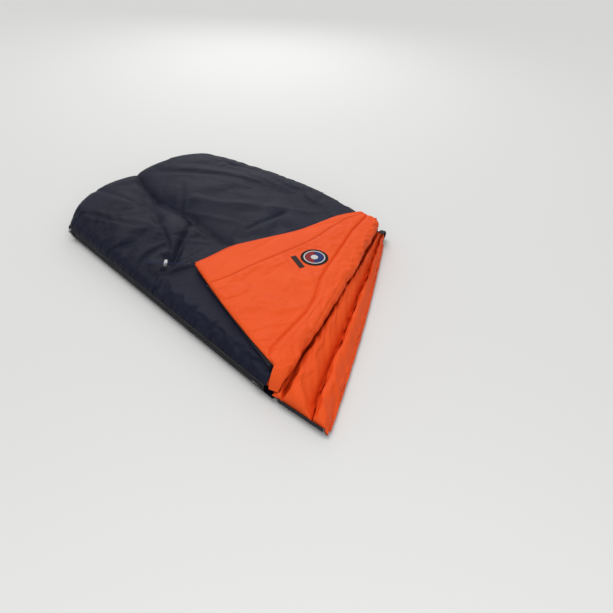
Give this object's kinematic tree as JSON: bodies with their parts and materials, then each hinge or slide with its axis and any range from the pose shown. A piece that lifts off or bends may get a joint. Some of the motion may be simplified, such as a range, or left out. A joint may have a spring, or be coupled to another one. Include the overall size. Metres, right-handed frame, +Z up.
{
  "type": "mummy sleeping bag",
  "caption": "Double-width tapered sleeping bag with side zip, head panel turned down over the body, gathered pleated hood and a collar drawcord with a sprung lock.",
  "frame": {"origin": "middle of the footprint of the laid-out bag, without its free cord, on the surface it lies on", "axes": "+X from the foot to the head, +Y from the zip side to the closed side, +Z up"},
  "size_m": [1.5894, 1.0724, 0.1206],
  "materials": {
    "navy_shell": "fine ripstop nylon with a slight sheen",
    "orange_lining": "smooth matte taffeta",
    "white_fill": "lofted fibre fill",
    "black_tape": "woven webbing",
    "coil_nylon": "moulded nylon coil",
    "dark_metal": "dark plated",
    "cord_blue": "braided cord",
    "pale_plastic": "satin moulded plastic",
    "spring_steel": "bare wire",
    "patch_black": "embroidered",
    "patch_white": "embroidered",
    "patch_red": "embroidered",
    "patch_blue": "embroidered",
    "label_brown": "woven label"
  },
  "bodies": {
    "bag": {"bottom_shell": "navy_shell", "bottom_insulation": "white_fill", "bottom_lining": "orange_lining", "top_shell": "navy_shell", "top_insulation": "white_fill", "top_lining": "orange_lining", "hood_shell": "navy_shell", "hood_insulation": "white_fill", "hood_lining": "orange_lining", "hood_edge_binding": "orange_lining", "head_corner_tab": "black_tape", "side_seam_binding": "navy_shell", "zip_tape_upper": "black_tape", "zip_tape_lower": "black_tape", "zip_coil_upper": "coil_nylon", "zip_coil_lower": "coil_nylon", "zip_foot_stop": "dark_metal", "zip_draft_tube": "orange_lining", "hood_zip_tape": "black_tape", "hood_zip_coil": "coil_nylon", "hood_zip_stop": "dark_metal"},
    "flap": {"flap_shell": "navy_shell", "flap_insulation": "white_fill", "flap_lining": "orange_lining", "draft_collar": "orange_lining", "flap_zip_tape": "black_tape", "flap_zip_coil": "coil_nylon", "flap_zip_stop": "dark_metal", "collar_cord_channel": "orange_lining", "collar_cord_inside": "cord_blue", "cord_eyelet": "dark_metal", "collar_cord": "cord_blue", "cord_knot": "cord_blue", "patch_backing": "patch_black", "patch_ring": "patch_white", "patch_head_half": "patch_blue", "patch_foot_half": "patch_red", "patch_centre": "patch_white", "label": "label_brown"},
    "cord_lock": {"cord_lock_barrel": "pale_plastic", "cord_lock_spring": "spring_steel"},
    "lock_button": {"cord_lock_button": "pale_plastic"},
    "slider_head": {"zip_slider_head": "dark_metal"},
    "pull_head": {"zip_pull_head": "dark_metal"},
    "slider_foot": {"zip_slider_foot": "dark_metal"},
    "pull_foot": {"zip_pull_foot": "dark_metal"}
  },
  "joints": [
    {"name": "flap_fold", "type": "hinge", "parent": "bag", "child": "flap", "pos_m": [0.545, -0.5, 0.0895], "axis": [-0.2589, 0.9659, 0], "range_deg": [0, 176]},
    {"name": "zip_head_slide", "type": "slide", "parent": "bag", "child": "slider_head", "axis": [-0.9949, 0.1008, 0], "range_m": [0, 0.55]},
    {"name": "zip_head_pull", "type": "hinge", "parent": "slider_head", "child": "pull_head", "pos_m": [0.51337, -0.53308, 0.032], "axis": [0, 0, 1], "range_deg": [0, 165]},
    {"name": "zip_foot_slide", "type": "slide", "parent": "bag", "child": "slider_foot", "axis": [0.9949, -0.1008, 0], "range_m": [0, 0.5]},
    {"name": "zip_foot_pull", "type": "hinge", "parent": "slider_foot", "child": "pull_foot", "pos_m": [-0.62763, -0.41752, 0.032], "axis": [0, 0, 1], "range_deg": [0, 165]},
    {"name": "cord_lock_slide", "type": "slide", "parent": "flap", "child": "cord_lock", "axis": [0.788, 0.6157, 0], "range_m": [-0.015, 0.06]},
    {"name": "cord_lock_press", "type": "slide", "parent": "cord_lock", "child": "lock_button", "axis": [-0.6157, 0.788, 0], "range_m": [0, 0.003], "stiffness_N_per_m": 300, "springref_m": -0.002}
  ]
}
